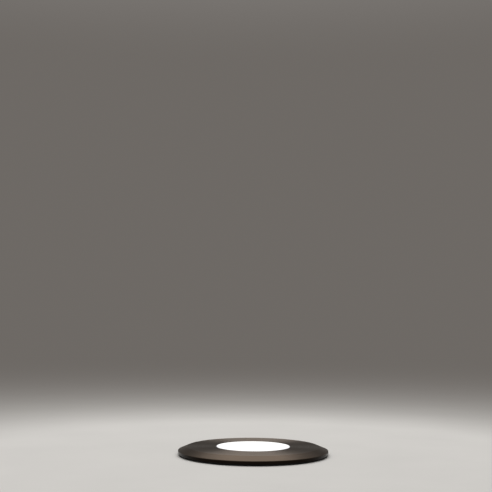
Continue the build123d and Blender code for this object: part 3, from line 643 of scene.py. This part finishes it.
WIRE_RADIUS = 0.4 * MM
COIL_RADIUS = 2.2 * MM
COIL_PITCH = 1.4 * MM
LEG_LENGTH = 6.0 * MM
UPPER_LEG_ANGLE = radians(97.5)
LOWER_LEG_ANGLE = pi + 4 * tau
COIL_STEPS = 200
WIRE_SIDES = 16
WIRE_END_BREAK = 0.08 * MM
MIDDLE_ANGLE = (UPPER_LEG_ANGLE + LOWER_LEG_ANGLE) / 2


def coil_point(angle):
    """Centre of the right-hand spring's wire, from the pivot."""
    along_pin = COIL_PITCH * (angle - MIDDLE_ANGLE) / tau
    return Vector((COIL_RADIUS * cos(angle), along_pin, COIL_RADIUS * sin(angle)))


def coil_heading(angle):
    return Vector((-COIL_RADIUS * sin(angle), COIL_PITCH / tau, COIL_RADIUS * cos(angle))).normalized()


def wire_line():
    """Centres, headings and radii of the wire's rings, with a small break at each cut end."""
    stations = []
    upper_way = coil_heading(UPPER_LEG_ANGLE)
    upper_end = coil_point(UPPER_LEG_ANGLE) - upper_way * LEG_LENGTH
    lower_way = coil_heading(LOWER_LEG_ANGLE)
    lower_end = coil_point(LOWER_LEG_ANGLE) + lower_way * LEG_LENGTH
    stations.append((upper_end, upper_way, WIRE_RADIUS - WIRE_END_BREAK))
    stations.append((upper_end + upper_way * WIRE_END_BREAK, upper_way, WIRE_RADIUS))
    for step in range(COIL_STEPS + 1):
        angle = UPPER_LEG_ANGLE + (LOWER_LEG_ANGLE - UPPER_LEG_ANGLE) * step / COIL_STEPS
        stations.append((coil_point(angle), coil_heading(angle), WIRE_RADIUS))
    stations.append((lower_end - lower_way * WIRE_END_BREAK, lower_way, WIRE_RADIUS))
    stations.append((lower_end, lower_way, WIRE_RADIUS - WIRE_END_BREAK))
    return stations


def make_spring(side, half_turns):
    """One wire: a straight leg on the bracket, a coil round the pin and a leg that lifts the arm.

    The left-hand spring is the right-hand one turned half a turn about Z.
    """
    pivot = pivot_of[f"clip_{side}"]
    turn = Matrix.Rotation(half_turns * pi, 3, "Z")
    shape = bmesh.new()
    rows = []
    for centre, heading, radius in wire_line():
        outward = Vector((centre.x, 0, centre.z))
        outward = (outward - heading * outward.dot(heading)).normalized()
        across = heading.cross(outward)
        row = []
        for corner in range(WIRE_SIDES):
            angle = corner / WIRE_SIDES * tau
            offset = (outward * cos(angle) + across * sin(angle)) * radius
            row.append(pivot + turn @ (centre + offset))
        rows.append(row)
    lofted(shape, rows)
    spring = stand_in(f"spring_{side}", smooth_mesh(f"spring_{side}", shape), f"clip_spring_{side}")
    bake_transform(spring)
    even_shading(spring)


make_spring("right", 0)
make_spring("left", 1)


# The clips' countersunk screws, each with a hexagon socket

SOCKET_FLAT_DISTANCE = 0.75 * MM
SOCKET_DEPTH = 0.65 * MM
HEAD_EDGE = 0.06 * MM
POINT_BREAK = 0.3 * MM
SCREW_SEGMENTS = 48


def make_clip_screws(side, outward):
    """Two screws along X, their heads flush with the bracket's face."""
    node = f"clip_screws_{side}"
    low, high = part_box(node)
    head_radius = (high.z - low.z) / 2
    length = high.x - low.x
    face = high.x if outward > 0 else low.x
    level = (high.z + low.z) / 2
    far_end = [
        hypot(abs(vertex.co.y) - (high.y - head_radius), vertex.co.z - level)
        for vertex in frame["nodes"][node].data.vertices
        if abs(vertex.co.x - face) > length - POINT_BREAK
    ]
    shank_radius = max(far_end)
    profile = [
        (head_radius - HEAD_EDGE, 0),
        (head_radius, HEAD_EDGE),
        (shank_radius, head_radius - shank_radius),
        (shank_radius, length - POINT_BREAK),
        (shank_radius - POINT_BREAK, length),
    ]

    def laid_down(point, across):
        """Place of a point of an upright screw, once its axis lies along X."""
        return Vector((face - outward * point.z, across + point.x, level + point.y))

    def socket(angle):
        return hexagon(SOCKET_FLAT_DISTANCE, angle)

    rows = [ring(SCREW_SEGMENTS, socket, depth) for depth in (SOCKET_DEPTH, 0)]
    rows += [ring(SCREW_SEGMENTS, lambda angle: radius, depth) for radius, depth in profile]
    shape = bmesh.new()
    for across in (low.y + head_radius, high.y - head_radius):
        lofted(shape, [[laid_down(point, across) for point in row] for row in rows])
    mesh = smooth_mesh(f"screws_{side}", shape)
    mesh.set_sharp_from_angle(angle=SHARP_ANGLE)
    finished(f"screws_{side}", mesh, node)


make_clip_screws("right", 1)
make_clip_screws("left", -1)


# The gland's dome nut: a hexagon with eased corners, finger grooves in its flats and a round nose

NUT_SEGMENTS = 288
NUT_CORNER_EASE = 0.45 * MM
NUT_EDGE = 0.2 * MM
NOSE_BULGE = 1.0 * MM
NOSE_SLANT = 0.7
NOSE_STEPS = 12
GROOVE_PITCH = 1.1 * MM
GROOVE_DEPTH = 0.28 * MM
GROOVED_WIDTH = 5.5 * MM
GROOVE_MARGIN = 0.9 * MM
GROOVE_RAMP = (0.0, 0.4, 0.8, 1.0)
GROOVE_TOP_SHARE = 0.6
NUT_CLOSE = 0.1 * MM


def make_dome_nut():
    """The nut, as a closed row of rings: up its nose and grooved flats, and down its bore."""
    node = "gland_dome_nut"
    low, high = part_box(node)
    corner_radius = max(radius for radius, level in profile_of(node))
    mouth_radius = min(radius for radius, level in profile_of(node))
    bore_radius = min(radii_at(node, high.z))
    nose_radius = max(radii_at(node, low.z))
    shoulder = min(heights_between(node, corner_radius - NUT_CLOSE, corner_radius))
    cone_top = min(heights_between(node, bore_radius - NUT_CLOSE, bore_radius + NUT_CLOSE))
    cone_bottom = max(heights_between(node, mouth_radius, mouth_radius + CLOSE))
    flat_distance = corner_radius * cos(pi / 6)

    def outer(limit, depth):
        """Radius of the hexagon within a round limit, with its flats grooved to a depth."""

        def radius_at(angle):
            across = flat_distance * tan(angle % (tau / 6) - tau / 12)
            grooved = abs(across) < GROOVED_WIDTH / 2
            groove = 0.5 + 0.5 * cos(across / GROOVE_PITCH * tau) if grooved else 0
            whole = min(hexagon(flat_distance, angle), corner_radius - NUT_CORNER_EASE, limit)
            return whole - depth * groove

        return radius_at

    rows = [ring(NUT_SEGMENTS, lambda angle: mouth_radius, low.z + NUT_EDGE / 2)]
    for step in range(NOSE_STEPS):
        share = step / NOSE_STEPS
        bulge = NOSE_BULGE * 4 * share * (1 - share)
        radius = nose_radius + (corner_radius - nose_radius) * share + bulge * NOSE_SLANT
        height = low.z + (shoulder - low.z) * share - bulge * NOSE_SLANT
        rows.append(ring(NUT_SEGMENTS, outer(radius, 0), max(height, low.z)))
    ramp_top = high.z - GROOVE_MARGIN
    for share in GROOVE_RAMP:
        height = shoulder + GROOVE_MARGIN * share
        rows.append(ring(NUT_SEGMENTS, outer(corner_radius, GROOVE_DEPTH * share), height))
    for share in reversed(GROOVE_RAMP):
        height = ramp_top + GROOVE_MARGIN * (1 - share) * GROOVE_TOP_SHARE
        rows.append(ring(NUT_SEGMENTS, outer(corner_radius, GROOVE_DEPTH * share), height))
    rows.append(ring(NUT_SEGMENTS, outer(corner_radius, 0), high.z - NUT_EDGE))
    rows.append(ring(NUT_SEGMENTS, outer(corner_radius - 2 * NUT_EDGE, 0), high.z))
    for radius, height in ((bore_radius, high.z), (bore_radius, cone_top), (mouth_radius, cone_bottom)):
        rows.append(ring(NUT_SEGMENTS, lambda angle: radius, height))
    shape = bmesh.new()
    lofted(shape, rows, closed=True)
    mesh = smooth_mesh("dome_nut", shape)
    mesh.set_sharp_from_angle(angle=SHARP_ANGLE)
    finished("dome_nut", mesh, node)


make_dome_nut()


# The other rigid pieces that show: their CAD shapes with every sharp edge broken

BROKEN_EDGE_SEGMENTS = 2


def dressed(node, broken):
    """A copy of a CAD node whose sharp edges are rounded over, as far back as given."""
    shape = bmesh.new()
    shape.from_mesh(frame["nodes"][node].data)
    bmesh.ops.remove_doubles(shape, verts=shape.verts, dist=WELD)
    bmesh.ops.dissolve_limit(shape, angle_limit=FLAT_ANGLE, verts=shape.verts, edges=shape.edges)
    mesh = smooth_mesh(f"{node}_finished", shape)
    mesh.set_sharp_from_angle(angle=SHARP_ANGLE)
    piece = rigid(stand_in(f"{node}_finished", mesh, node), node)
    bevel = piece.modifiers.new("broken_edges", "BEVEL")
    bevel.limit_method = "ANGLE"
    bevel.angle_limit = SHARP_ANGLE
    bevel.width = broken
    bevel.segments = BROKEN_EDGE_SEGMENTS
    bevel.harden_normals = True


broken_edges = {
    "housing": 0.25 * MM,
    "rear_cover": 0.20 * MM,
    "rear_cover_screws": 0.08 * MM,
    "gland_washer": 0.10 * MM,
    "gland_body": 0.30 * MM,
    "clip_bracket_left": 0.10 * MM,
    "clip_bracket_right": 0.10 * MM,
    "clip_pin_left": 0.10 * MM,
    "clip_pin_right": 0.10 * MM,
    "clip_arm_left": 0.10 * MM,
    "clip_arm_right": 0.10 * MM,
    "clip_foot_left": 0.20 * MM,
    "clip_foot_right": 0.20 * MM,
}
for node, width in broken_edges.items():
    dressed(node, width)


# The stage: a pale floor with a hole for the light, and a pale bench below the light

BACKDROP = (0.155, 0.142, 0.130)
BRIGHT_SKY = (1.0, 0.995, 0.985)
SKY_RISE = (0.30, 0.95)
FLOOR_PALE = (0.66, 0.645, 0.62)
FLOOR_MOTTLE = 0.96
FLOOR_RADIUS = 3.0
FLOOR_SEGMENTS = 128
FADE_START = 0.15
FADE_END = 1.8
HOLE_RADIUS = 31 * MM
BENCH_HOLE_RADIUS = 0.5 * MM
BENCH_GAP = 0.1 * MM


def floor_material():
    """Fine pale plaster that fades to the backdrop's tone far away and is clear from below."""
    shader = Shader("floor", roughness=0.7)
    cloud = shader.noise(50 * MM, detail=4.0)
    mottled = tuple(FLOOR_MOTTLE * part for part in FLOOR_PALE)
    shader.colour(shader.blend(shader.spread(cloud, 0, 1), FLOOR_PALE, mottled))
    shader.bump(shader.noise(0.6 * MM), 0.04 * MM)
    length = shader.add("ShaderNodeVectorMath", operation="LENGTH")
    shader.link(shader.place, length.inputs[0])
    nearness = shader.math("DIVIDE", FADE_START, length.outputs["Value"])
    far = shader.eased(nearness, 1.0, 0.0, FADE_START / FADE_END, 1.0)
    haze = shader.add("ShaderNodeEmission")
    haze.inputs["Color"].default_value = (*BACKDROP, 1)
    fade = shader.add("ShaderNodeMixShader")
    shader.link(far, fade.inputs["Fac"])
    shader.link(shader.surface.outputs[0], fade.inputs[1])
    shader.link(haze.outputs[0], fade.inputs[2])
    facing = shader.add("ShaderNodeNewGeometry")
    clear = shader.add("ShaderNodeBsdfTransparent")
    one_way = shader.add("ShaderNodeMixShader")
    shader.link(facing.outputs["Backfacing"], one_way.inputs["Fac"])
    shader.link(fade.outputs[0], one_way.inputs[1])
    shader.link(clear.outputs[0], one_way.inputs[2])
    shader.link(one_way.outputs[0], shader.tree.nodes["Material Output"].inputs["Surface"])
    return shader.material


def make_floor(name, hole_radius, height, material):
    """A flat ring about the Z axis, at a height."""
    shape = bmesh.new()
    rows = []
    for radius in (hole_radius, FLOOR_RADIUS):
        row = ring(FLOOR_SEGMENTS, lambda angle: radius, height)
        rows.append([shape.verts.new(point) for point in row])
    for turn in range(FLOOR_SEGMENTS):
        after = (turn + 1) % FLOOR_SEGMENTS
        shape.faces.new((rows[0][turn], rows[1][turn], rows[1][after], rows[0][after]))
    mesh = bpy.data.meshes.new(name)
    shape.to_mesh(mesh)
    shape.free()
    mesh.materials.append(material)
    floor = bpy.data.objects.new(name, mesh)
    bpy.context.scene.collection.objects.link(floor)


# Both show only from above. The bench is there for the views from just under the floor.
floor_finish = floor_material()
make_floor("floor", HOLE_RADIUS, 0, floor_finish)
make_floor("bench", BENCH_HOLE_RADIUS, cad_box[0].z - BENCH_GAP, floor_finish)


# Light: a studio sky, one large soft lamp above, and three lamps between floor and bench


def make_sky():
    """Dim at the horizon and bright overhead."""
    world = bpy.data.worlds.new("sky")
    bpy.context.scene.world = world
    world.use_nodes = True
    tree = world.node_tree
    place = tree.nodes.new("ShaderNodeTexCoord")
    parts = tree.nodes.new("ShaderNodeSeparateXYZ")
    tree.links.new(place.outputs["Generated"], parts.inputs[0])
    ramp = tree.nodes.new("ShaderNodeValToRGB")
    ramp.color_ramp.interpolation = "EASE"
    tree.links.new(parts.outputs["Z"], ramp.inputs["Fac"])
    stops = ramp.color_ramp.elements
    for stop, position, colour in zip(stops, SKY_RISE, (BACKDROP, BRIGHT_SKY)):
        stop.position = position
        stop.color = (*colour, 1)
    tree.links.new(ramp.outputs["Color"], tree.nodes["Background"].inputs["Color"])


def make_lamp(name, place, aim, width, height, power, spread=pi):
    """A soft lamp of one width and height that faces a point and shines within an angle."""
    data = bpy.data.lights.new(name, "AREA")
    data.shape = "RECTANGLE"
    data.size = width
    data.size_y = height
    data.energy = power
    data.spread = spread
    lamp = bpy.data.objects.new(name, data)
    bpy.context.scene.collection.objects.link(lamp)
    lamp.location = place
    lamp.rotation_euler = (Vector(aim) - Vector(place)).to_track_quat("-Z", "Y").to_euler()


KEY_LAMP_PLACE = (-0.05, 0.45, 1.15)
KEY_LAMP_SIDE = 1.1
KEY_LAMP_POWER = 6.5

# The bench lamps light the views from just under the floor. Their angles are in degrees, round
# from the photograph's side.
BENCH_LAMP_ANGLES = (-50, 40, 130)
BENCH_LAMP_DISTANCE = 0.60
BENCH_LAMP_WIDTH = 0.40
BENCH_LAMP_POWER = 0.34
BENCH_LAMP_SPREAD = radians(100)

make_sky()
make_lamp("key_lamp", KEY_LAMP_PLACE, (0, 0, 0), KEY_LAMP_SIDE, KEY_LAMP_SIDE, KEY_LAMP_POWER)
bench_middle = cad_box[0].z / 2
for number, angle in enumerate(BENCH_LAMP_ANGLES, 1):
    make_lamp(
        f"bench_lamp_{number}",
        at_angle(BENCH_LAMP_DISTANCE, radians(angle) - pi / 2, bench_middle),
        (0, 0, bench_middle),
        BENCH_LAMP_WIDTH,
        -bench_middle,
        BENCH_LAMP_POWER,
        BENCH_LAMP_SPREAD,
    )

bpy.context.scene.view_settings.view_transform = "Standard"
